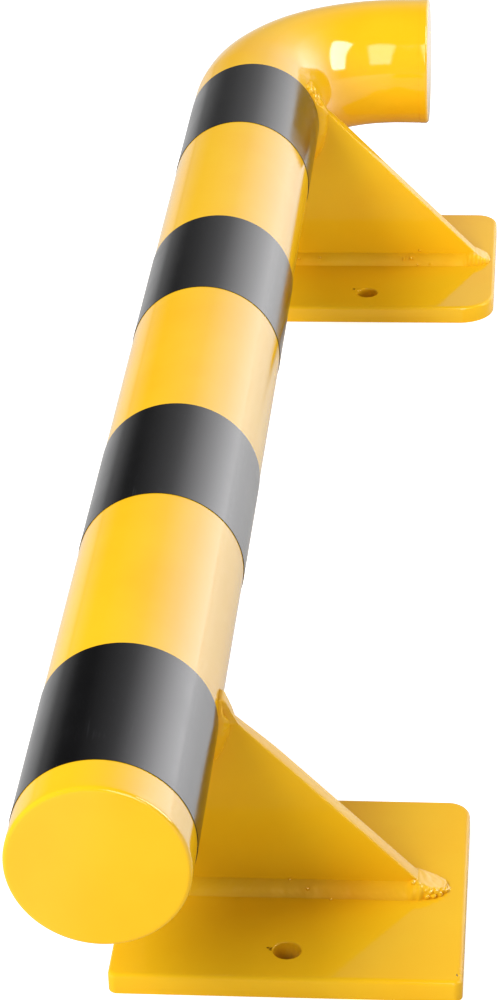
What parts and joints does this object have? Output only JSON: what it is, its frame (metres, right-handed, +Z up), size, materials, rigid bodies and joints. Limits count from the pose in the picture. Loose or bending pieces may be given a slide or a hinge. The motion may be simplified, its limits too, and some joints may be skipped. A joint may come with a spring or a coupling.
{
  "type": "steel corner guard",
  "caption": "Low steel tube guard with a bent end, black hazard bands and gusseted base plates for floor anchors.",
  "frame": {"origin": "middle of the whole guard's bounding box, on the floor under the base plates", "axes": "+Y along the long stretch from the end disc to the bend, +X towards the base plates and the short leg, +Z up"},
  "size_m": [0.1808, 0.9, 0.1403],
  "materials": {
    "yellow_powder_coat": "gloss",
    "black_film": "satin"
  },
  "bodies": {
    "root": {"guard_tube": "yellow_powder_coat", "near_end_disc": "yellow_powder_coat", "leg_end_disc": "yellow_powder_coat", "near_base_plate": "yellow_powder_coat", "far_base_plate": "yellow_powder_coat", "near_gusset": "yellow_powder_coat", "far_gusset": "yellow_powder_coat", "near_foot_weld": "yellow_powder_coat", "far_foot_weld": "yellow_powder_coat", "near_tube_weld": "yellow_powder_coat", "far_tube_weld": "yellow_powder_coat", "hazard_band_1": "black_film", "hazard_band_2": "black_film", "hazard_band_3": "black_film", "hazard_band_4": "black_film"}
  },
  "joints": []
}
